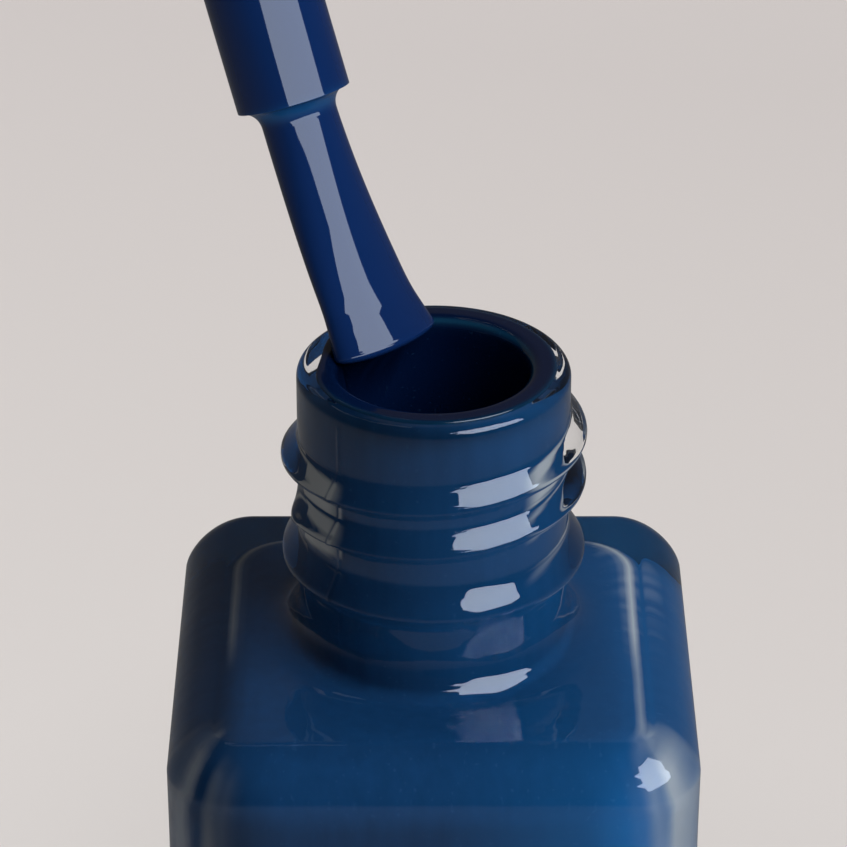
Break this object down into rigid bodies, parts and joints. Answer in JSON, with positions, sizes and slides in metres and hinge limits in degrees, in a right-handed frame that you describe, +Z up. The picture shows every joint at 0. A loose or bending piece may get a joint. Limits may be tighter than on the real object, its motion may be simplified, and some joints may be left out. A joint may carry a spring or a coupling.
{
  "type": "nail polish bottle",
  "caption": "Square clear glass bottle of glossy blue nail polish, open, with its brush applicator leaning on the threaded neck's lip.",
  "frame": {"origin": "middle of the bottle's flat base, on the surface it stands on", "axes": "+Z up along the bottle's axis, -Y towards the front face, the applicator leans back and to the left"},
  "size_m": [0.0422, 0.0422, 0.1131],
  "materials": {
    "clear_glass": "clear, polished",
    "blue_polish": "wet, glossy blue lacquer",
    "ball_steel": "polished steel",
    "bristle_nylon": "fine nylon hair",
    "staple_steel": "drawn wire",
    "stem_plastic": "moulded, satin",
    "liner_foam": "soft closed foam",
    "inner_cap_plastic": "moulded, matt",
    "outer_cap_plastic": "moulded, glossy black"
  },
  "bodies": {
    "bottle": {"glass_bottle": "clear_glass", "polish_fill": "blue_polish", "lip_polish_film": "blue_polish"},
    "lip_bridge": {"polish_bridge": "blue_polish"},
    "liner": {"cap_liner": "liner_foam"},
    "applicator": {"bristles": "bristle_nylon", "bristle_staple": "staple_steel", "brush_stem": "stem_plastic", "brush_polish_coat": "blue_polish", "inner_cap": "inner_cap_plastic", "outer_cap": "outer_cap_plastic"},
    "front_ball": {"mixing_ball_front": "ball_steel"},
    "back_ball": {"mixing_ball_back": "ball_steel"}
  },
  "joints": [
    {"name": "brush_uprighting", "type": "hinge", "parent": "bottle", "child": "lip_bridge", "pos_m": [0.03465, -0.03465, 0.04908], "axis": [0.7071, 0.7071, 0], "range_deg": [0, 23]},
    {"name": "brush_insertion", "type": "slide", "parent": "lip_bridge", "child": "liner", "axis": [0.2763, -0.2763, -0.9205], "range_m": [0, 0.0401], "deforming": ["polish_fill", "polish_bridge"]},
    {"name": "brush_spin", "type": "hinge", "parent": "liner", "child": "applicator", "pos_m": [-0.00315, 0.00315, 0.0496], "axis": [-0.2763, 0.2763, 0.9205], "continuous": true, "deforming": ["bristles", "brush_polish_coat"]},
    {"name": "front_ball_rattle", "type": "slide", "parent": "bottle", "child": "front_ball", "axis": [0, 0, 1], "range_m": [0, 0.0259], "deforming": ["polish_fill"]},
    {"name": "back_ball_rattle", "type": "slide", "parent": "bottle", "child": "back_ball", "axis": [0, 0, 1], "range_m": [0, 0.0259], "deforming": ["polish_fill"]}
  ],
  "couplings": [
    {"joint": "brush_uprighting", "follows": "brush_insertion", "rad_per_m": 10.009}
  ]
}
